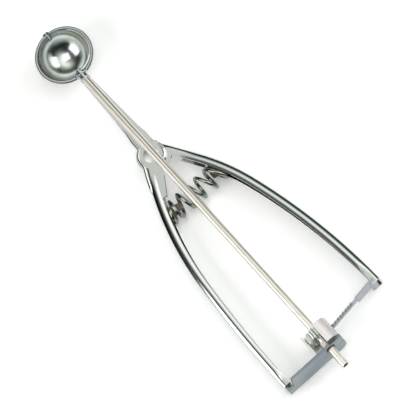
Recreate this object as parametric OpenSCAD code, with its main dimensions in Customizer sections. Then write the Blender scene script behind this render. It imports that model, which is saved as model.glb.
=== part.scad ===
// Lever ice cream scoop: squeezing the handles draws a rack across a pinion, and the shaft
// sweeps a blade round the inside of the bowl. Millimetres.
// Origin at the centre of the bowl's mouth. X runs along the shaft to the tail,
// Y to the moving handle, Z up out of the bowl.

/* [Bowl] */
// Outside radius of the bowl
bowl_r = 14.3; // [13.6:0.1:14.6]
// Sheet thickness of the bowl
bowl_wall = 0.8; // [0.6:0.05:0.9]
// Radius of the ear round the tip rivet
ear_r = 2; // [1.8:0.1:2.4]

/* [Blade] */
// Width of the blade at its middle
blade_w = 5; // [4:0.5:7]
// Thickness of the blade
blade_t = 0.6; // [0.5:0.05:0.8]
// Gap between the blade and the bowl
blade_gap = 0.25; // [0.15:0.05:0.3]
// Angle below the rim at which the blade rests
blade_rest = 14; // [13:1:18]
// Radius of the blade's boss on the shaft
boss_r = 1.9; // [1.8:0.05:2.1]

/* [Shaft] */
// Outside radius of the tube
tube_r = 2; // [1.9:0.05:2.1]
// Inside radius of the tube
tube_bore_r = 1.55; // [1.3:0.05:1.6]
// Length of tube that stands out behind the rear arm
stub_l = 11.1; // [8:0.1:16]
// Wall of the bearing bushes
bush_wall = 0.5; // [0.4:0.05:0.7]
// Running clearance of everything that turns on a pin
run_gap = 0.05; // [0.03:0.01:0.08]

/* [Handles] */
// Sheet thickness of both handles
sheet = 1.1; // [1:0.05:1.2]
// Height of the fixed handle's channel
handle_h = 11.1; // [10.9:0.1:11.5]
// Depth of the channels
flange_d = 4.6; // [4.2:0.1:5]
// Outside radius of the channels' bends
bend_r = 2.2; // [1.6:0.1:2.6]
// Height of the fixed handle's top face
top_z = -3.6; // [-3.7:0.05:-3.6]
// Distance of the pivot from the bowl's centre
pivot_x = 68.5; // [67.5:0.1:69.5]
// Offset of the pivot from the shaft line
pivot_y = -1.2; // [-1.4:0.1:-1]
// Radius of the fixed handle's pivot plate
disc_r = 7.1; // [6.8:0.1:7.4]
// Radius of the moving handle's pivot plate
lobe_r = 8; // [7.8:0.1:8.2]
// Radius of the front bend of the fixed handle
fixed_bend_r = 172; // [170:1:174]
// Radius of the front bend of the moving handle
moving_bend_r = 117; // [116:0.5:118]

/* [Pivot] */
// Radius of the pivot rivet's shank
rivet_r = 1.6; // [1.4:0.1:1.8]
// Radius of the pivot rivet's head
rivet_head_r = 4; // [3.6:0.1:4.4]
// Thickness of the washer between the pivot plates
washer_t = 0.35; // [0.3:0.05:0.4]

/* [Spring] */
// Wire radius
wire_r = 0.85; // [0.7:0.05:0.9]
// Radius of the coil's centre line
coil_r = 5.35; // [5.1:0.05:5.4]
// Place of the coil along the shaft
coil_x = 96.6; // [96.3:0.1:96.9]

/* [Gear] */
// Teeth of the pinion
teeth = 19; // [18:1:19]
// Tooth module
tooth_m = 0.6; // [0.58:0.01:0.6]
// Width of the pinion
pinion_w = 4.5; // [4.2:0.1:4.6]
// Thickness of the rack
rack_t = 1.5; // [1.2:0.1:1.6]
// Length of the rack from its hook
rack_l = 39.6; // [39:0.1:41]

/* [Housing] */
// Front face of the rear arm
arm_x = 204.7; // [204.6:0.1:205.2]
// Thickness of the rear arm
arm_t = 1.5; // [1.2:0.1:1.8]
// Sheet thickness of the gear cage and hood
cage_t = 0.9; // [0.8:0.05:1]
// Length of the gear cage in front of the rear arm
cage_l = 12.3; // [12:0.1:12.6]
// Outside radius of the hood's bend
hood_bend_r = 5; // [4:0.25:5.5]

/* [Hidden] */
$fn = 64;

steel = [0.80, 0.81, 0.82];
dull = [0.66, 0.68, 0.70];
warm = [0.90, 0.88, 0.84];

inner_r = bowl_r - bowl_wall;
blade_r = inner_r - blade_gap;
ear_x = -bowl_r - 0.2;
boss_x = inner_r - 0.55;
tip_boss_l = 2.3;
tip_boss_r = 1.25;
tail_boss_l = 1.2;
tip_pin_r = 0.6;
bush_r = tube_r + run_gap + bush_wall;
collar_r = bush_r + 0.7;
tang_l = 14;
tail_x = arm_x + arm_t + stub_l;

pivot = [pivot_x, pivot_y];
rest_z = top_z - handle_h;
stem_top_z = -tube_r - 0.15;
moving_z = top_z - sheet - washer_t - run_gap;

// The distance of a bend's outer face from the shaft line, at a place along the shaft
function bend_y(centre, r, x) = centre.y + sqrt(r * r - (x - centre.x) * (x - centre.x));

// A point to the nearest hundredth, so that bends which meet there share their end face
function hundredth(p) = [round(p.x * 100) / 100, round(p.y * 100) / 100];

// Neighbouring bends of a handle meet on the line through both centres, and these lines have
// whole-number steps, so the faces that meet there are the same.
fixed_front = [-116.6, 221.1];
fixed_seam = [-23, 264];
fixed_start = [70.567, 7.789];
fixed_centre = hundredth(fixed_start - fixed_bend_r * fixed_front / norm(fixed_front));
fixed_back_r = fixed_bend_r + 2 * norm(fixed_seam);
fixed_back_centre = fixed_centre - 2 * fixed_seam;
fixed_end_x = 203.5;
fixed_end_y = -bend_y(fixed_back_centre, fixed_back_r, arm_x);

moving_heading = 29.487;
moving_front = [-540, 899];
moving_seam = [-95, 168];
moving_back_seam = [-60, 221];
moving_joint = [84.909, 17.245];
moving_centre = hundredth(moving_joint - moving_bend_r * moving_seam / norm(moving_seam));
moving_front_r = moving_bend_r + 4 * norm(moving_seam);
moving_front_centre = moving_centre - 4 * moving_seam;
moving_back_r = moving_bend_r + norm(moving_back_seam);
moving_back_centre = moving_centre - moving_back_seam;
hook_x = arm_x - 12.66;
hook = [hook_x, bend_y(moving_back_centre, moving_back_r - 3.5, hook_x)];
moving_end_x = hook_x + 1.76;

pitch_r = teeth * tooth_m / 2;
tooth_pitch = PI * tooth_m;
tip_r = pitch_r + tooth_m;
root_r = pitch_r - 1.25 * tooth_m;
rack_x = arm_x - 7.6;
rack_bottom = -pitch_r - 2.2;
rack_tilt = atan2(rack_x - hook.x, hook.y);
mesh_s = norm([rack_x - hook.x, hook.y]);
pin_r = rack_t / 2;
plate_end = 12.1;
cage_front = arm_x - cage_l;
pinion_x = cage_front + cage_t + 0.6;
hub_x = pinion_x + pinion_w;
hub_l = 1;
hub_r = 2.8;
sleeve_r = tube_r + 0.4;
thrust_r = 3;
thrust_l = 3;
thrust_x = arm_x - 0.4 - thrust_l;
key_x = thrust_x + 1.7;
key_r = 0.7;
key_head_r = 1.3;
key_angle = 20.61;

cage_floor = rack_bottom - 0.1;
cage_side = tip_r + 0.4;
hood_top = tip_r + 0.4;
foot_l = 8.5;
arm_low = -10.8;
side_low = -4.2;

coil_z = -8.35;
fixed_coil_y = bend_y(fixed_centre, fixed_bend_r, coil_x);
moving_coil_y = bend_y(moving_centre, moving_bend_r, coil_x);
coil_top_y = moving_coil_y - flange_d - 1.42;
coil_bottom_y = -(fixed_coil_y - flange_d - 1.79);
coil_pitch = 6.55;

// An angle of bent sheet in section: the outside corner at the origin, legs to -x and -y.
module bent_angle(leg_x, leg_y, r, t) {
    translate([-leg_x, -t])
        square([leg_x - r, t]);
    translate([-t, -leg_y])
        square([t, leg_y - r]);
    translate([-r, -r])
        intersection() {
            difference() {
                circle(r, $fn = 32);
                circle(r - t, $fn = 32);
            }
            square(r);
        }
}

// A handle's channel in section: outer face on x = 0, opening to -x.
module channel_section(z_high, z_low) {
    difference() {
        union() {
            translate([-flange_d, z_low])
                square([flange_d - bend_r, z_high - z_low]);
            translate([-bend_r - 1, z_low + bend_r])
                square([bend_r + 1, z_high - z_low - 2 * bend_r]);
            for (z = [z_low + bend_r, z_high - bend_r])
                translate([-bend_r, z])
                    circle(bend_r, $fn = 32);
        }
        translate([-flange_d - 1, z_low + sheet])
            square([flange_d + 1 - sheet, z_high - z_low - 2 * sheet]);
    }
}

// One bend of a handle, between two rays from the bend's centre.
module channel_bend(centre, r, from, to, z_high) {
    translate([centre.x, centre.y, 0])
        intersection() {
            rotate_extrude(angle = 180, $fn = 240)
                translate([r, 0])
                    channel_section(z_high, rest_z);
            translate([0, 0, rest_z - 1])
                linear_extrude(z_high - rest_z + 2)
                    polygon([[0, 0], from, to]);
        }
}

// A prism standing across the handles, drawn in X and Z.
module side_profile(points) {
    translate([0, 60, 0])
        rotate([90, 0, 0])
            linear_extrude(120)
                polygon(points);
}

// A round bar along X.
module bar_x(x0, x1, r) {
    translate([x0, 0, 0])
        rotate([0, 90, 0])
            cylinder(h = x1 - x0, r = r);
}

// A low rounded head standing on z = 0.
module dome(r, h) {
    ball = (r * r + h * h) / (2 * h);
    rotate_extrude()
        intersection() {
            translate([0, h - ball])
                circle(ball, $fn = 128);
            square([r, h]);
        }
}

module bowl() {
    color(steel)
        difference() {
            union() {
                difference() {
                    sphere(bowl_r);
                    translate([-20, -20, 0])
                        cube([40, 40, 20]);
                }
                bar_x(ear_x, ear_x + bowl_wall, ear_r);
                bar_x(inner_r, bowl_r + 0.2, collar_r);
            }
            sphere(inner_r);
            bar_x(ear_x - 1, 0, tip_pin_r);
            bar_x(0, bowl_r + 1, bush_r);
        }
}

module shaft_bush() {
    color(steel)
        difference() {
            bar_x(inner_r - 0.15, bowl_r + 2.7, bush_r);
            bar_x(0, bowl_r + 4, tube_r + run_gap);
        }
}

module tip_rivet() {
    color(steel) {
        translate([ear_x, 0, 0])
            rotate([0, -90, 0])
                dome(1.1, 0.6);
        bar_x(ear_x, -boss_x + tip_boss_l - 0.4, tip_pin_r);
    }
}

module scraper() {
    color(steel)
        rotate([90 - blade_rest, 0, 0])
            difference() {
                union() {
                    intersection() {
                        difference() {
                            sphere(blade_r);
                            sphere(blade_r - blade_t);
                        }
                        translate([0, 0, -15])
                            linear_extrude(14.3)
                                polygon([
                                    [-15, -1.4],
                                    [-9, -blade_w / 2],
                                    [9, -blade_w / 2],
                                    [15, -1.4],
                                    [15, 1.4],
                                    [9, blade_w / 2],
                                    [-9, blade_w / 2],
                                    [-15, 1.4]
                                ]);
                    }
                    bar_x(-boss_x, -boss_x + tip_boss_l, tip_boss_r);
                    bar_x(boss_x - tail_boss_l, boss_x, boss_r);
                }
                bar_x(-15, 0, tip_pin_r + run_gap);
                bar_x(0, 15, tube_bore_r);
                bar_x(boss_x, 15, bush_r + 0.2);
            }
}

module scraper_tang() {
    color(steel)
        bar_x(boss_x - tail_boss_l + 0.2, boss_x + tang_l - tail_boss_l, tube_bore_r);
}

// The shank of the cross pin that locks pinion, collar and tube together.
module key_shank(reach) {
    translate([key_x, 0, 0])
        rotate([key_angle, 0, 0])
            translate([0, 0, -reach])
                cylinder(h = 2 * reach, r = key_r);
}

module shaft_tube() {
    color(warm)
        difference() {
            bar_x(boss_x, tail_x, tube_r);
            bar_x(boss_x - 1, tail_x + 1, tube_bore_r);
            key_shank(10);
        }
}

module pinion() {
    color(dull)
        difference() {
            union() {
                bar_x(pinion_x, hub_x, root_r);
                bar_x(hub_x, hub_x + hub_l, hub_r);
                bar_x(hub_x, thrust_x + thrust_l, sleeve_r);
                translate([pinion_x, 0, 0])
                    rotate([0, 90, 0])
                        linear_extrude(pinion_w)
                            for (i = [0 : teeth - 1])
                                rotate(i * 360 / teeth)
                                    pinion_tooth();
            }
            bar_x(pinion_x - 1, arm_x, tube_r);
            key_shank(10);
        }
}

module pinion_tooth() {
    half = 0.2 * tooth_pitch;
    polygon([
        [root_r - 0.3, -half * 1.45],
        [pitch_r, -half],
        [tip_r, -half * 0.5],
        [tip_r, half * 0.5],
        [pitch_r, half],
        [root_r - 0.3, half * 1.45]
    ]);
}

module pinion_pin() {
    color(dull) {
        key_shank(thrust_r - 0.2);
        translate([key_x, 0, 0])
            rotate([key_angle, 0, 0])
                translate([0, 0, thrust_r - 0.5])
                    cylinder(h = 0.6, r = key_head_r);
    }
}

module thrust_collar() {
    color(dull)
        difference() {
            bar_x(thrust_x, thrust_x + thrust_l, thrust_r);
            bar_x(hub_x, arm_x, sleeve_r);
            key_shank(10);
            translate([key_x, 0, 0])
                rotate([key_angle, 0, 0])
                    translate([0, 0, thrust_r - 0.5])
                        cylinder(h = 5, r = key_head_r);
        }
}

// The rack drawn flat: s runs from the hook along the bar, then height.
module rack_outline() {
    first = ceil((plate_end + 0.5 - mesh_s) / tooth_pitch);
    last = floor((rack_l - 0.6 - mesh_s) / tooth_pitch - 0.5);
    root_z = -pitch_r - 1.25 * tooth_m;
    translate([10, rack_bottom])
        square([rack_l - 10, root_z - rack_bottom]);
    translate([1.5, rack_bottom - 2.7])
        square([plate_end - 1.5, moving_z + 0.3 - rack_bottom + 2.7]);
    translate([-1.4, rest_z + sheet + 0.2])
        square([4, moving_z - sheet - 0.2 - rest_z - sheet - 0.2]);
    for (k = [first : last])
        translate([mesh_s + (k + 0.5) * tooth_pitch, -pitch_r])
            polygon([
                [-0.345 * tooth_pitch, root_z + pitch_r - 0.2],
                [-0.345 * tooth_pitch, root_z + pitch_r],
                [-0.085 * tooth_pitch, tooth_m],
                [0.085 * tooth_pitch, tooth_m],
                [0.345 * tooth_pitch, root_z + pitch_r],
                [0.345 * tooth_pitch, root_z + pitch_r - 0.2]
            ]);
}

module rack() {
    color(dull)
        translate([hook.x, hook.y, 0])
            rotate([0, 0, rack_tilt]) {
                translate([rack_t / 2, 0, 0])
                    rotate([90, 0, -90])
                        linear_extrude(rack_t)
                            rack_outline();
                translate([0, 0, rest_z + 0.3])
                    cylinder(h = moving_z + 0.3 - rest_z - 0.3, r = pin_r);
            }
}

// The stem's outline in plan, drawn inward by the given amount.
module stem_outline(inset) {
    polygon([
        [10, -(2.2 - inset)],
        [52, -(3.7 - inset)],
        [57, -(4.4 - inset)],
        [63, -(4.4 - inset)],
        [63, 4.4 - inset],
        [57, 4.4 - inset],
        [52, 3.7 - inset],
        [10, 2.2 - inset]
    ]);
}

module frame_handle() {
    lip_z = top_z - sheet - 0.15;
    color(steel)
        difference() {
            union() {
                // Stem under the shaft, edges turned down
                intersection() {
                    difference() {
                        translate([0, 0, -12])
                            linear_extrude(12)
                                stem_outline(0);
                        intersection() {
                            translate([0, 0, -14])
                                linear_extrude(14)
                                    stem_outline(sheet);
                            side_profile([[5, -20], [5, stem_top_z - sheet + 0.15], [60, top_z - sheet],
                                [70, top_z - sheet], [70, -20]]);
                        }
                    }
                    side_profile([[10, stem_top_z], [60, top_z], [64, top_z], [64, top_z - sheet],
                        [60, top_z - sheet], [59.6, top_z - 4], [10, top_z - 1.6]]);
                }
                // Pivot plate and the web that widens into the handle
                translate([pivot.x, pivot.y, top_z - sheet])
                    cylinder(h = sheet, r = disc_r);
                mirror([0, 1, 0])
                    translate([0, 0, top_z - sheet])
                        linear_extrude(sheet)
                            intersection() {
                                translate(fixed_centre)
                                    circle(fixed_bend_r - bend_r - 0.4, $fn = 240);
                                polygon([
                                    [pivot.x + 1, -pivot.y],
                                    [pivot.x + 8, -pivot.y + 0.2],
                                    [78.9, 2.2],
                                    [89.6, 9.1],
                                    [89.9, 12],
                                    [92, 30],
                                    [pivot.x + 3, 30]
                                ]);
                            }
                // Channel of the handle
                mirror([0, 1, 0]) {
                    intersection() {
                        channel_bend(fixed_centre, fixed_bend_r, fixed_front, fixed_seam, top_z);
                        side_profile([[66, 0], [210, 0], [210, -20], [90, -20], [84, rest_z + 0.6],
                            [75.5, top_z - 5.4], [75.2, lip_z], [66, lip_z]]);
                    }
                    channel_bend(fixed_back_centre, fixed_back_r, 3 * fixed_seam,
                        1.15 * [fixed_end_x - fixed_back_centre.x, fixed_back_r], top_z);
                }
            }
            sphere(bowl_r);
            bar_x(0, bowl_r + 3, bush_r);
            bar_x(0, bowl_r + 0.25, collar_r + run_gap);
            translate([pivot.x, pivot.y, -10])
                cylinder(h = 10, r = rivet_r);
        }
}

// A point of the moving pivot plate, along and across the handle's heading there.
function lobe_point(along, across) = [
    along * cos(moving_heading) - across * sin(moving_heading),
    along * sin(moving_heading) + across * cos(moving_heading)
];

module moving_handle() {
    color(steel)
        difference() {
            union() {
                translate([pivot.x, pivot.y, moving_z - sheet])
                    linear_extrude(sheet) {
                        difference() {
                            circle(lobe_r);
                            polygon([
                                lobe_point(0, lobe_r - bend_r),
                                lobe_point(20, lobe_r - bend_r),
                                lobe_point(20, 20),
                                lobe_point(0, 20)
                            ]);
                        }
                        polygon([
                            lobe_point(0, -1.1),
                            lobe_point(9.5, -1.1),
                            lobe_point(9.5, lobe_r - bend_r - 0.5),
                            lobe_point(0, lobe_r - bend_r - 0.5)
                        ]);
                    }
                intersection() {
                    channel_bend(moving_front_centre, moving_front_r, moving_front, 5 * moving_seam,
                        moving_z);
                    side_profile([[60, 0], [210, 0], [210, -20], [84, -20], [78, rest_z + 0.6],
                        [66, moving_z - 3.4], [60, moving_z - 2.6]]);
                }
                channel_bend(moving_centre, moving_bend_r, moving_seam, moving_back_seam, moving_z);
                channel_bend(moving_back_centre, moving_back_r, 2 * moving_back_seam,
                    1.3 * [moving_end_x - moving_back_centre.x, moving_back_r], moving_z);
            }
            translate([pivot.x, pivot.y, -20])
                cylinder(h = 20, r = rivet_r + run_gap);
            translate([hook.x, hook.y, -20])
                cylinder(h = 20, r = pin_r + run_gap);
        }
}

module pivot_rivet() {
    tail_z = moving_z - sheet - run_gap;
    color(steel)
        translate([pivot.x, pivot.y, 0]) {
            translate([0, 0, top_z])
                dome(rivet_head_r, 1.1);
            translate([0, 0, tail_z])
                cylinder(h = top_z - tail_z, r = rivet_r);
            translate([0, 0, tail_z])
                mirror([0, 0, 1])
                    dome(3.2, 1);
        }
}

module pivot_washer() {
    color(dull)
        translate([pivot.x, pivot.y, top_z - sheet - washer_t])
            difference() {
                cylinder(h = washer_t, r = 3.6);
                translate([0, 0, -1])
                    cylinder(h = 3, r = rivet_r);
            }
}

function coil_y(n) =
    max(coil_bottom_y, coil_top_y - coil_pitch * max(0, n) + 0.88 * pow(max(0, n - 3.4), 2));
function coil_lean(n) = 23 - 8.3 * max(0, min(5, n));
function coil_point(n) =
    let (a = 360 * n, lean = coil_lean(n))
    [
        coil_x + coil_r * cos(a) * cos(lean),
        coil_y(n) + coil_r * cos(a) * sin(lean),
        coil_z + coil_r * sin(a)
    ];

module spring() {
    per_turn = 16;
    sides = 8;
    first = -0.5;
    last = 5.25;
    steps = round((last - first) * per_turn);
    path = [for (i = [0 : steps]) coil_point(first + i / per_turn)];
    points = [
        for (i = [0 : steps])
            let (
                n = first + i / per_turn,
                ahead = coil_point(n + 0.01) - coil_point(n - 0.01),
                along = ahead / norm(ahead),
                out = path[i] - [coil_x, coil_y(n), coil_z],
                side = cross(along, out),
                u = side / norm(side),
                v = cross(u, along)
            )
            for (j = [0 : sides - 1])
                path[i] + wire_r * (cos(360 * j / sides) * u + sin(360 * j / sides) * v)
    ];
    walls = [
        for (i = [0 : steps - 1], j = [0 : sides - 1])
            let (k = (j + 1) % sides)
            [i * sides + j, i * sides + k, (i + 1) * sides + k, (i + 1) * sides + j]
    ];
    start_cap = [[for (j = [sides - 1 : -1 : 0]) j]];
    end_cap = [[for (j = [0 : sides - 1]) steps * sides + j]];
    color(steel)
        polyhedron(points, concat(walls, start_cap, end_cap));
}

module fixed_spring_seat() {
    color(dull)
        mirror([0, 1, 0])
            translate([0, 0, coil_z - 0.5])
                linear_extrude(1)
                    intersection() {
                        translate(fixed_centre)
                            circle(fixed_bend_r - sheet, $fn = 240);
                        polygon([
                            [coil_x - 6, fixed_coil_y + 11],
                            [coil_x - 5.5, fixed_coil_y - 3.4],
                            [coil_x - 3.6, fixed_coil_y - 5.4],
                            [coil_x - 1.5, fixed_coil_y - 12.4],
                            [coil_x + 1, fixed_coil_y - 12.4],
                            [coil_x + 3.6, fixed_coil_y - 4.1],
                            [coil_x + 9, fixed_coil_y - 1.4],
                            [coil_x + 9, fixed_coil_y + 11]
                        ]);
                    }
}

module moving_spring_seat() {
    color(dull)
        translate([0, 0, coil_z - 0.5])
            linear_extrude(1)
                intersection() {
                    translate(moving_centre)
                        circle(moving_bend_r - sheet, $fn = 240);
                    polygon([
                        [coil_x - 6, moving_coil_y + 7],
                        [coil_x - 5, moving_coil_y - 5],
                        [coil_x - 2, moving_coil_y - 9.5],
                        [coil_x + 1, moving_coil_y - 9.5],
                        [coil_x + 3, moving_coil_y - 3.5],
                        [coil_x + 6, moving_coil_y - 2],
                        [coil_x + 6, moving_coil_y + 7]
                    ]);
                }
}

module gear_cage() {
    color(dull) {
        translate([cage_front, -cage_side - cage_t, cage_floor - cage_t])
            cube([cage_t, 2 * cage_side + cage_t, -3 - cage_floor + cage_t]);
        translate([cage_front, -cage_side - cage_t, cage_floor - cage_t])
            cube([arm_x - cage_front, 2 * cage_side + cage_t, cage_t]);
        translate([cage_front, -cage_side - cage_t, side_low])
            cube([arm_x - cage_front, cage_t, 1 - side_low]);
    }
}

module cage_hood() {
    color(steel)
        translate([cage_front + 1, 0, 0])
            rotate([90, 0, 90])
                linear_extrude(arm_x - cage_front - 1)
                    translate([cage_side + cage_t, hood_top + cage_t])
                        bent_angle(6.8, hood_top + cage_t - side_low, hood_bend_r, cage_t);
}

module rear_arm() {
    foot_y = fixed_end_y + sheet;
    color(dull)
        difference() {
            union() {
                translate([arm_x, 0, 0])
                    rotate([90, 0, 90])
                        linear_extrude(arm_t) {
                            polygon([
                                [foot_y, -5.5],
                                [foot_y + 3.6, -5.5],
                                [foot_y + 4.6, 3.5],
                                [cage_side + cage_t, 3.5],
                                [cage_side + cage_t, arm_low + 3.4],
                                [cage_side + cage_t - 3.4, arm_low],
                                [foot_y, arm_low]
                            ]);
                            translate([cage_side + cage_t - 3.4, arm_low + 3.4])
                                circle(3.4);
                        }
                intersection() {
                    translate([arm_x - foot_l, foot_y - 1, arm_low])
                        cube([foot_l, 2.2, -5.5 - arm_low]);
                    translate([fixed_back_centre.x, -fixed_back_centre.y, arm_low])
                        cylinder(h = 10, r = fixed_back_r - sheet, $fn = 360);
                }
            }
            bar_x(arm_x - 1, arm_x + arm_t + 1, bush_r);
        }
}

module tail_bush() {
    color(warm)
        difference() {
            bar_x(arm_x, arm_x + arm_t + 0.4, bush_r);
            bar_x(arm_x - 1, arm_x + arm_t + 2, tube_r + run_gap);
        }
}

bowl();
shaft_bush();
tip_rivet();
scraper();
scraper_tang();
shaft_tube();
pinion();
pinion_pin();
thrust_collar();
rack();
frame_handle();
moving_handle();
pivot_rivet();
pivot_washer();
spring();
fixed_spring_seat();
moving_spring_seat();
gear_cage();
cage_hood();
rear_arm();
tail_bush();
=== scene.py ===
import math

import bmesh
import bpy
from mathutils import Matrix, Vector


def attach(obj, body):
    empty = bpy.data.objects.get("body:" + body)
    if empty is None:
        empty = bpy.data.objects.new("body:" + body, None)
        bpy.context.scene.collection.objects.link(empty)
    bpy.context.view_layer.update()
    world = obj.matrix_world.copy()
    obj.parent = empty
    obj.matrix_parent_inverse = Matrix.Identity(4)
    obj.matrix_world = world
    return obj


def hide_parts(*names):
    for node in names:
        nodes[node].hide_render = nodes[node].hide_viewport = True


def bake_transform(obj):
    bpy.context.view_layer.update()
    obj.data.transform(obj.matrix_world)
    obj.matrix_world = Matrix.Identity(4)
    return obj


MM = 0.001

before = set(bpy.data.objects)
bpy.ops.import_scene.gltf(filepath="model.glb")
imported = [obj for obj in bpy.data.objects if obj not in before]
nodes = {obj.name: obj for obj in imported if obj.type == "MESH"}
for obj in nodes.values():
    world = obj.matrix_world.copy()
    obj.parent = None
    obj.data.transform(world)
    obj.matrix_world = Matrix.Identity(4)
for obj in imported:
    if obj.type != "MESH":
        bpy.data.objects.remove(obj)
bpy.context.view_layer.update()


# ---------------------------------------------------------------- materials

def linear(hex_colour):
    """An sRGB hex colour as Blender's linear RGBA."""
    parts = [int(hex_colour[i : i + 2], 16) / 255 for i in (1, 3, 5)]
    return [p / 12.92 if p <= 0.04045 else ((p + 0.055) / 1.055) ** 2.4 for p in parts] + [1]


def add(tree, kind, inputs=None, **settings):
    """A node of that kind, with settings, and inputs given as values or as sockets to link."""
    node = tree.nodes.new(kind)
    for name, value in settings.items():
        setattr(node, name, value)
    for name, value in (inputs or {}).items():
        if isinstance(value, bpy.types.NodeSocket):
            tree.links.new(value, node.inputs[name])
        else:
            node.inputs[name].default_value = value
    return node


def colour_stops(ramp, stops):
    """Sets a colour ramp's stops, given as places and hex colours."""
    while len(ramp.elements) < len(stops):
        ramp.elements.new(0.5)
    for element, (place, colour) in zip(ramp.elements, stops):
        element.position = place
        element.color = linear(colour)


# How deep the sheet's waves are at full strength
DENT_DEPTH = 0.3


def metal(
    name,
    colour,
    rough,
    grain=0.02,
    grain_mm=1.5,
    stretch=(1, 1, 1),
    dents=0.0,
    dent_mm=6.0,
    bloom=None,
    bloom_mm=9.0,
):
    """Bare metal: one colour, and a roughness that wanders by the grain either way.

    The marks that the finishing leaves are about 0.1 mm wide. They are drawn coarser, grain_mm
    wide, so that they show. The stretch draws them out along an axis. Dents are the sheet's
    shallow waves from the press. A bloom is a second colour that the first one drifts into.
    """
    material = bpy.data.materials.new(name)
    material.use_nodes = True
    tree = material.node_tree
    shader = tree.nodes["Principled BSDF"]
    shader.inputs["Metallic"].default_value = 1
    shader.inputs["Base Color"].default_value = linear(colour)
    where = add(tree, "ShaderNodeTexCoord").outputs["Object"]
    drawn = add(tree, "ShaderNodeMapping", {"Vector": where, "Scale": stretch})
    marks = add(
        tree,
        "ShaderNodeTexNoise",
        {"Vector": drawn.outputs["Vector"], "Scale": 1 / (grain_mm * MM), "Detail": 3},
    )
    spread = add(
        tree,
        "ShaderNodeMapRange",
        {"Value": marks.outputs["Fac"], "To Min": rough - grain, "To Max": rough + grain},
    )
    tree.links.new(spread.outputs["Result"], shader.inputs["Roughness"])
    if bloom:
        cloud = add(
            tree,
            "ShaderNodeTexNoise",
            {"Vector": where, "Scale": 1 / (bloom_mm * MM), "Detail": 2},
        )
        drift = add(tree, "ShaderNodeValToRGB", {"Fac": cloud.outputs["Fac"]})
        colour_stops(drift.color_ramp, [(0.38, colour), (0.62, bloom)])
        tree.links.new(drift.outputs["Color"], shader.inputs["Base Color"])
    if dents:
        wave = add(
            tree,
            "ShaderNodeTexNoise",
            {"Vector": where, "Scale": 1 / (dent_mm * MM), "Detail": 1},
        )
        shallow = add(
            tree,
            "ShaderNodeBump",
            {"Height": wave.outputs["Fac"], "Strength": dents, "Distance": DENT_DEPTH * MM},
        )
        tree.links.new(shallow.outputs["Normal"], shader.inputs["Normal"])
    return material


# Deep-drawn stainless, polished: a soft mirror that drifts between a warm and a cool grey
polished = metal(
    "polished_stainless",
    "#C6C7C1",
    0.19,
    grain=0.05,
    dents=0.14,
    dent_mm=8,
    bloom="#C0C6C7",
    bloom_mm=11,
)
# The rolled bead of the bowl's mouth, coloured dark: painted shade and dark reflection, a dark line
# round the bowl
bead_painted_dark = metal("bead_painted_dark", "#52564F", 0.16, grain=0.04)
# Stamped stainless of stem and handles, buffed: brighter than the bowl, with crisp streaks
buffed = metal("buffed_handles", "#D3D7D5", 0.11, grain=0.03, dents=0.08, dent_mm=12)
# Drawn tube, nickel plated: warm and pale, with soft lines along it
plated = metal("nickel_plated_tube", "#EDE6DC", 0.31, grain=0.04, stretch=(0.05, 1, 1))
# Drawn spring wire: grey and glossy, so that each turn has a dark side and a pale streak
drawn_wire = metal("drawn_spring_wire", "#8C928A", 0.07)
# Stamped stainless with a satin brush across it: an even grey
satin = metal("satin_stainless", "#A9AEB3", 0.33, grain=0.05, stretch=(1, 0.15, 1))
# The rear arm, ground across its face: a duller grey with a blue bloom
ground = metal(
    "ground_rear_arm",
    "#889092",
    0.26,
    grain=0.06,
    stretch=(1, 0.12, 1),
    bloom="#7C8690",
    bloom_mm=10,
)
# The hood, satin enough to stay pale all round its bend
hood_satin = metal("satin_hood", "#E3DEDE", 0.38, grain=0.04)
# Dull dark brown: painted shade on the tail bush and the spring seats, and the colour of the web's
# turned-down flange
shaded_brown = metal("painted_shade_dark_brown", "#6E665B", 0.36, grain=0.06, grain_mm=2.5)
# Rivet heads, matt from the upsetting die: white without a glint
die_matt = metal("upset_rivet_heads", "#E4E6E8", 0.6, grain=0.05, grain_mm=0.8)
# Pinion and cage, cut and sheared and left bright: pale, with soft edges to the reflections
machined = metal("machined_steel", "#D5D8D3", 0.30, grain=0.05)
# Collar and cross pin, turned: matt, with a faint warm tone
turned = metal("turned_collar", "#C8BCB8", 0.46, grain=0.05)

SURFACES = {
    "bowl": polished,
    "shaft_bush": polished,
    "tip_rivet": polished,
    "scraper": polished,
    "scraper_tang": polished,
    "shaft_tube": plated,
    # The tail bush is painted shade: a dark ring round the tube where it leaves the arm
    "tail_bush": shaded_brown,
    "pinion": machined,
    "pinion_pin": turned,
    "thrust_collar": turned,
    "rack": satin,
    "frame_handle": buffed,
    "moving_handle": buffed,
    "pivot_rivet": die_matt,
    "pivot_washer": satin,
    "spring": drawn_wire,
    # The spring seats are painted shade: dark where they lie under the coils
    "fixed_spring_seat": shaded_brown,
    "moving_spring_seat": shaded_brown,
    "gear_cage": machined,
    "cage_hood": hood_satin,
    "rear_arm": ground,
}
for name, obj in nodes.items():
    obj.data.materials.clear()
    obj.data.materials.append(SURFACES[name])

# Folds steeper than this are crisp on the added pieces, and eased on the solids below
CRISP = math.radians(40)

# Tumbling eases the sheared and turned edges, so that they catch a line of light
EASED_MM = {
    "bowl": 0.15,
    "cage_hood": 0.2,
    "rear_arm": 0.35,
    "rack": 0.12,
    "gear_cage": 0.15,
    "shaft_tube": 0.12,
}
for name, width in EASED_MM.items():
    eased = nodes[name].modifiers.new("eased_edges", "BEVEL")
    eased.width = width * MM
    eased.segments = 2
    eased.limit_method = "ANGLE"
    eased.angle_limit = CRISP


# ---------------------------------------------------------------- helpers for the added pieces

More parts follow.
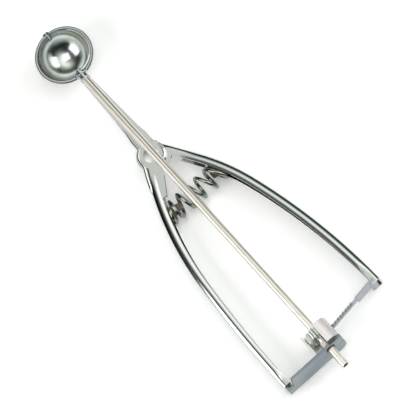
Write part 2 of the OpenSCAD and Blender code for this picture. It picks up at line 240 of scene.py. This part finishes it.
def piece(name, bm, body, material):
    """A finished bmesh as an object that rides a body and belongs to a material slot."""
    bmesh.ops.recalc_face_normals(bm, faces=bm.faces)
    for face in bm.faces:
        face.smooth = True
    mesh = bpy.data.meshes.new(name)
    bm.to_mesh(mesh)
    bm.free()
    mesh.set_sharp_from_angle(angle=CRISP)
    obj = bpy.data.objects.new(name, mesh)
    bpy.context.scene.collection.objects.link(obj)
    mesh.materials.append(material)
    if body:
        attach(obj, body)
    return obj


def only(kind, geometry):
    """The elements of one kind in what an operator gives back."""
    return [g for g in geometry if isinstance(g, kind)]


def turn(degrees, axis):
    """A rotation about an axis of the frame."""
    return Matrix.Rotation(math.radians(degrees), 3, axis)


def sweep(start, stop, steps):
    """Even steps from one angle to another."""
    return [start + (stop - start) * i / steps for i in range(steps + 1)]


def arc(centre, radius, degrees):
    """Points on a circle, at each of the angles."""
    return [
        (
            centre[0] + radius * math.cos(math.radians(a)),
            centre[1] + radius * math.sin(math.radians(a)),
        )
        for a in degrees
    ]


# ---------------------------------------------------------------- handles and stem

# The middle of the pivot rivet in plan, and the upper faces of the two stampings
PIVOT = (68.5, -1.2)
FIXED_TOP = -3.6
MOVING_TOP = -5.1

# The outer edge of each handle in plan, as arcs: centre, radius, and where along X they start and
# end. The fixed handle's are written mirrored, on the moving handle's side.
MOVING_BENDS = [
    ((522.5, -756.6), 889, 76.5, 84.91),
    ((142.5, -84.6), 117, 84.91, 111.34),
    ((202.5, -305.6), 346, 111.34, 188.6),
]
FIXED_BENDS = [
    ((150.8, -144.35), 172, 75.8, 135.87),
    ((196.8, -672.35), 702, 135.87, 202.5),
]

# The round corner's radius, and how far its middle lies in from the edge and down from the top
CORNER_R = 2.24
CORNER_IN = 2.2
# The flatter crown's radius, and how many degrees off upright it meets the corner
CROWN_R = 3.8
CROWN_MEETS = 35
# The cover that they make: how far it stands out from the wall and, at its ends, up from the
# top, how far down the wall it reaches, how thick it is, how long its steps are, and over what
# length it rises at its ends
COVER_PROUD = 0.04
COVER_FLUSH = 0.02
COVER_REACH = 3.0
COVER_THICK = 0.4
COVER_STEP = 1.6
COVER_RISE = 9


def handle_section():
    """The section of a handle's drawn corner, from its side wall up and over the crown.

    Its points are outward of the edge and up from the top: a round corner, then a flatter crown
    that goes on from it without a crease.
    """
    wall = [(COVER_PROUD, -COVER_REACH), (COVER_PROUD, -CORNER_IN)]
    corner = arc((-CORNER_IN, -CORNER_IN), CORNER_R, (11, 22, 33, 44, 90 - CROWN_MEETS))
    meets = math.radians(CROWN_MEETS)
    hub = (corner[-1][0] - CROWN_R * math.sin(meets), corner[-1][1] - CROWN_R * math.cos(meets))
    return wall + corner + arc(hub, CROWN_R, (63, 71, 79, 87, 95, 103, 113))


def handle_crown(name, top, bends, side, body):
    """The drawn outer corner of a handle: its section, spun from bend to bend over the channel."""
    bm = bmesh.new()
    centre, radius, starts, _ = bends[0]
    heading = math.acos((starts - centre[0]) / radius)
    line = [
        bm.verts.new(
            (
                (centre[0] + (radius + out) * math.cos(heading)) * MM,
                (centre[1] + (radius + out) * math.sin(heading)) * MM,
                (top + rise) * MM,
            )
        )
        for out, rise in handle_section()
    ]
    front = line + [bm.edges.new(pair) for pair in zip(line, line[1:])]
    for centre, radius, x0, x1 in bends:
        angle = math.acos((x1 - centre[0]) / radius) - math.acos((x0 - centre[0]) / radius)
        front = bmesh.ops.spin(
            bm,
            geom=front,
            cent=(centre[0] * MM, centre[1] * MM, 0),
            axis=(0, 0, 1),
            angle=angle,
            steps=max(4, round(abs(radius * angle) / COVER_STEP)),
            use_merge=False,
        )["geom_last"]
    # The crown rises out of the flat sheet over its first and last few millimetres
    flush = (top + COVER_FLUSH) * MM
    for v in bm.verts:
        near = min(v.co.x - starts * MM, bends[-1][3] * MM - v.co.x) / (COVER_RISE * MM)
        share = min(1, max(0, near))
        if v.co.z > flush:
            v.co.z = flush + (v.co.z - flush) * share * share * (3 - 2 * share)
    bmesh.ops.scale(bm, vec=(1, side, 1), verts=bm.verts)
    bmesh.ops.recalc_face_normals(bm, faces=bm.faces)
    if sum(f.normal.z * f.calc_area() for f in bm.faces) < 0:
        bmesh.ops.reverse_faces(bm, faces=bm.faces)
    bmesh.ops.solidify(bm, geom=bm.faces[:], thickness=COVER_THICK * MM)
    piece(name, bm, body, buffed)


def turned_down_wall(name, path, top, low, thick, body, material):
    """A strip of the sheet that is bent down along an edge, given as points in plan."""
    bm = bmesh.new()
    line = [bm.verts.new((x * MM, y * MM, top * MM)) for x, y in path]
    edges = [bm.edges.new(pair) for pair in zip(line, line[1:])]
    made = bmesh.ops.extrude_edge_only(bm, edges=edges)["geom"]
    lower = only(bmesh.types.BMVert, made)
    bmesh.ops.translate(bm, vec=(0, 0, (low - top) * MM), verts=lower)
    bmesh.ops.recalc_face_normals(bm, faces=bm.faces)
    bmesh.ops.solidify(bm, geom=bm.faces[:], thickness=thick * MM)
    piece(name, bm, body, material).data.shade_flat()


RIM_R = 0.9
RIM_Z = -4.15
RIM_SIDES = 14
# The rim's middle runs round the pivot on this radius, a little inside the plate's edge
RIM_ROUND_PIVOT = 6.45


def rolled_rim(name, path):
    """A round bead along the edge of the frame's sheet, drawn through points in plan.

    A third number lowers the bead at that point, so that it can sink into the handle.
    """
    bm = bmesh.new()
    ring = bmesh.ops.create_circle(bm, segments=RIM_SIDES, radius=RIM_R * MM)["verts"]
    points = [Vector((x, y, RIM_Z + sum(sunk))) * MM for x, y, *sunk in path]
    headings = [math.atan2(b.y - a.y, b.x - a.x) for a, b in zip(points, points[1:])]
    stand = Matrix.Rotation(headings[0], 3, "Z") @ turn(90, "Y")
    bmesh.ops.rotate(bm, matrix=stand, verts=ring)
    bmesh.ops.translate(bm, vec=points[0], verts=ring)
    bmesh.ops.contextual_create(bm, geom=ring)
    edges = bm.edges[:]
    for i, (start, stop) in enumerate(zip(points, points[1:])):
        made = bmesh.ops.extrude_edge_only(bm, edges=edges)["geom"]
        ring = only(bmesh.types.BMVert, made)
        edges = [e for e in only(bmesh.types.BMEdge, made) if all(v in ring for v in e.verts)]
        bmesh.ops.translate(bm, vec=stop - start, verts=ring)
        if i + 1 < len(headings):
            bend = Matrix.Rotation(headings[i + 1] - headings[i], 3, "Z")
            bmesh.ops.rotate(bm, cent=stop, matrix=bend, verts=ring)
    bmesh.ops.contextual_create(bm, geom=ring)
    piece(name, bm, "frame_body", buffed)


# The fixed handle's web is flanged down along its open side
turned_down_wall(
    "web_flange",
    [(79.3, -2.9), (81.4, -4.2), (84.2, -6.0), (87.0, -7.8), (88.8, -9.0)],
    top=-4.6,
    low=-8.2,
    thick=0.9,
    body="frame_body",
    # The flange's wall is coloured dull dark brown
    material=shaded_brown,
)

# The moving handle's end is drawn round behind the hook
turned_down_wall(
    "moving_handle_end",
    arc((190.5, 35.9), 3.3, sweep(66, -30, 16)),
    top=-5.2,
    low=-14.6,
    thick=1.0,
    body="lever_body",
    material=satin,
)

handle_crown("moving_handle_crown", MOVING_TOP, MOVING_BENDS, 1, "lever_body")
handle_crown("fixed_handle_crown", FIXED_TOP, FIXED_BENDS, -1, "frame_body")

# Down the stem, round the pivot plate and into the fixed handle, where it sinks away
rolled_rim(
    "stem_rim",
    [(44, -2.85), (52, -3.15), (57, -3.85), (61.5, -3.95), (63.0, -4.4)]
    + arc(PIVOT, RIM_ROUND_PIVOT, sweep(222, 262, 9))
    + [(69.5, -7.5), (71.4, -7.95), (73.2, -8.77), (75.4, -9.86)]
    + [(77.8, -10.9, -0.05), (80.0, -11.8, -0.2), (82.0, -12.5, -0.45), (84.0, -13.1, -0.8)],
)
rolled_rim("pivot_rim", arc(PIVOT, RIM_ROUND_PIVOT, sweep(108, 2, 22)))


# ---------------------------------------------------------------- bowl

# The bead's middle runs on this radius, and its top is level with the bowl's mouth
LIP_MIDDLE_R = 14.35
LIP_R = 0.4
LIP_SIDES = 14
LIP_STEPS = 96
# Degrees to each side of the shaft that are left open for the bush
BUSH_GAP = 10


def bowl_lip():
    """The bead rolled outwards round the bowl's mouth, open where the shaft's bush sits."""
    bm = bmesh.new()
    ring = bmesh.ops.create_circle(bm, segments=LIP_SIDES, radius=LIP_R * MM)["verts"]
    bmesh.ops.rotate(bm, matrix=turn(90, "X"), verts=ring)
    bmesh.ops.translate(bm, vec=(LIP_MIDDLE_R * MM, 0, -LIP_R * MM), verts=ring)
    bmesh.ops.rotate(bm, matrix=turn(BUSH_GAP, "Z"), verts=ring)
    bmesh.ops.contextual_create(bm, geom=ring)
    last = bmesh.ops.spin(
        bm,
        geom=ring + bm.edges[:],
        cent=(0, 0, 0),
        axis=(0, 0, 1),
        angle=math.radians(360 - 2 * BUSH_GAP),
        steps=LIP_STEPS,
        use_merge=False,
    )["geom_last"]
    bmesh.ops.contextual_create(bm, geom=only(bmesh.types.BMVert, last))
    # The bead's dark colour is painted shade and dark reflection round the bowl's edge
    piece("bowl_lip", bm, "frame_body", bead_painted_dark)


bowl_lip()


# ---------------------------------------------------------------- spring

WIRE_UPPER_END = (91.68, 14.91, -8.35)
# All of the wire's end face, and nothing else, lies within this of the middle of that face
WIRE_END_REACH = 0.95
WIRE_BENT_OUT = [(-0.5, 0.1, 0.8), (-0.9, 0.15, 0.5), (-1.2, 0.1, 0.1)]
# Rounding the wire draws it in, so it is first swelled by as much
WIRE_SWELL = 0.13


def spring_wire():
    """The wire of the handle spring, with its upper end bent out."""
    bm = bmesh.new()
    bm.from_mesh(nodes["spring"].data)
    bmesh.ops.remove_doubles(bm, verts=bm.verts, dist=0.001 * MM)
    end = Vector(WIRE_UPPER_END) * MM
    reach = WIRE_END_REACH * MM
    cap = [f for f in bm.faces if all((v.co - end).length < reach for v in f.verts)]
    for step in WIRE_BENT_OUT:
        out = bmesh.ops.extrude_face_region(bm, geom=cap)["geom"]
        bmesh.ops.delete(bm, geom=cap, context="FACES")
        cap = only(bmesh.types.BMFace, out)
        bmesh.ops.translate(bm, vec=Vector(step) * MM, verts=only(bmesh.types.BMVert, out))
    bm.normal_update()
    for v in bm.verts:
        v.co += WIRE_SWELL * MM * v.normal
    coils = piece("spring_wire", bm, None, drawn_wire)
    round_wire = coils.modifiers.new("round_wire", "SUBSURF")
    round_wire.levels = 1
    round_wire.render_levels = 1
    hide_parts("spring")
    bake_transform(coils)


spring_wire()


# ---------------------------------------------------------------- table

# The handles' lower edges rest on it
TABLE_Z = -14.7
# Half its width in metres, far past the picture's edge
TABLE_REACH = 3.0
# What the table gives off to the eye and in the steel, so that it reads white there
TABLE_LIFT = 0.21


def white_laminate():
    """Matt white laminate, which reads as pure white and still keeps the part's shadow."""
    material = bpy.data.materials.new("white_table")
    material.use_nodes = True
    tree = material.node_tree
    shader = tree.nodes["Principled BSDF"]
    shader.inputs["Base Color"].default_value = linear("#FFFFFF")
    shader.inputs["Roughness"].default_value = 0.6
    shader.inputs["Emission Color"].default_value = linear("#FFFFFF")
    rays = add(tree, "ShaderNodeLightPath").outputs
    seen = rays["Is Camera Ray"]
    for kind in ("Is Glossy Ray", "Is Transmission Ray"):
        either = add(tree, "ShaderNodeMath", {0: seen, 1: rays[kind]}, operation="MAXIMUM")
        seen = either.outputs[0]
    lift = add(tree, "ShaderNodeMath", {0: seen, 1: TABLE_LIFT}, operation="MULTIPLY")
    tree.links.new(lift.outputs[0], shader.inputs["Emission Strength"])
    return material


def table():
    """One flat square under the part."""
    bm = bmesh.new()
    bmesh.ops.create_grid(bm, x_segments=1, y_segments=1, size=TABLE_REACH)
    bmesh.ops.translate(bm, vec=(0, 0, TABLE_Z * MM), verts=bm.verts)
    mesh = bpy.data.meshes.new("table")
    bm.to_mesh(mesh)
    bm.free()
    card = bpy.data.objects.new("table", mesh)
    bpy.context.scene.collection.objects.link(card)
    mesh.materials.append(white_laminate())


table()


# ---------------------------------------------------------------- camera

# From the part to the camera, how far the camera is rolled about that line, the point in the
# middle of the picture, and the lens, given by its focal length in the picture's pixels
EYE = Vector((0.3755, -0.0102, 0.9268)).normalized()
ROLL = math.radians(47.97)
AIM = Vector((104.66, 1.48, 0)) * MM
DISTANCE = 3.0
SENSOR_MM = 36
PICTURE_PX = 400
FOCAL_PX = 6236.5

level_right = Vector((0, 1, 0)).cross(EYE).normalized()
level_up = EYE.cross(level_right)
right = math.cos(ROLL) * level_right + math.sin(ROLL) * level_up
up = EYE.cross(right)

camera_data = bpy.data.cameras.new("camera")
camera_data.sensor_width = SENSOR_MM
camera_data.lens = SENSOR_MM * FOCAL_PX / PICTURE_PX
camera_data.clip_start = 0.1
camera_data.clip_end = 20
camera = bpy.data.objects.new("camera", camera_data)
camera.matrix_world = Matrix(
    (
        (right.x, up.x, EYE.x, AIM.x + EYE.x * DISTANCE),
        (right.y, up.y, EYE.y, AIM.y + EYE.y * DISTANCE),
        (right.z, up.z, EYE.z, AIM.z + EYE.z * DISTANCE),
        (0, 0, 0, 1),
    )
)
bpy.context.scene.collection.objects.link(camera)
bpy.context.scene.camera = camera


# ---------------------------------------------------------------- light

def softbox(name, off_axis, toward, size, watts):
    """A square lamp a metre off, tilted off the line of sight toward a side of the picture.

    The tilt is in degrees, and toward is given as right and up in the picture.
    """
    tilt = math.radians(off_axis)
    aside = toward[0] * right + toward[1] * up
    heading = math.cos(tilt) * EYE + math.sin(tilt) * aside
    data = bpy.data.lights.new(name, "AREA")
    data.size = size
    data.energy = watts
    lamp = bpy.data.objects.new(name, data)
    bpy.context.scene.collection.objects.link(lamp)
    lamp.location = AIM + heading
    lamp.rotation_mode = "QUATERNION"
    lamp.rotation_quaternion = heading.to_track_quat("Z", "Y")


# Their reflections are the three white patches in the bowl
softbox("key", off_axis=60, toward=(-0.89, -0.46), size=0.8, watts=6.0)
softbox("overhead", off_axis=17, toward=(-0.72, 0.69), size=0.5, watts=1.7)
softbox("side", off_axis=59, toward=(0.75, 0.66), size=0.78, watts=5.0)

# The studio from the horizon up to the ceiling: black walls for the steel's dark streaks, white
# above them for the flat faces
STUDIO_WALLS = [
    (0.0, "#050A08"),
    (0.45, "#0F1814"),
    (0.6, "#4A5450"),
    (0.76, "#8E948F"),
    (0.88, "#E6E8E3"),
    (0.95, "#F2F3EF"),
    (1.0, "#A9ADAA"),
]


def studio():
    """The room: a ramp by height, brighter on the far side, behind the moving handle."""
    world = bpy.data.worlds.new("studio")
    bpy.context.scene.world = world
    world.use_nodes = True
    sky = world.node_tree
    background = sky.nodes["Background"]
    direction = add(sky, "ShaderNodeTexCoord").outputs["Generated"]
    part_of = add(sky, "ShaderNodeSeparateXYZ", {"Vector": direction}).outputs
    walls = add(sky, "ShaderNodeValToRGB", {"Fac": part_of["Z"]})
    colour_stops(walls.color_ramp, STUDIO_WALLS)
    lean = add(
        sky,
        "ShaderNodeMapRange",
        {"Value": part_of["Y"], "From Min": -0.35, "From Max": 0.45, "To Min": 0.15, "To Max": 2.0},
        interpolation_type="SMOOTHSTEP",
    )
    lit = add(
        sky,
        "ShaderNodeVectorMath",
        {0: walls.outputs["Color"], "Scale": lean.outputs["Result"]},
        operation="SCALE",
    )
    sky.links.new(lit.outputs["Vector"], background.inputs["Color"])
    background.inputs["Strength"].default_value = 1


studio()

bpy.context.scene.view_settings.view_transform = "Standard"
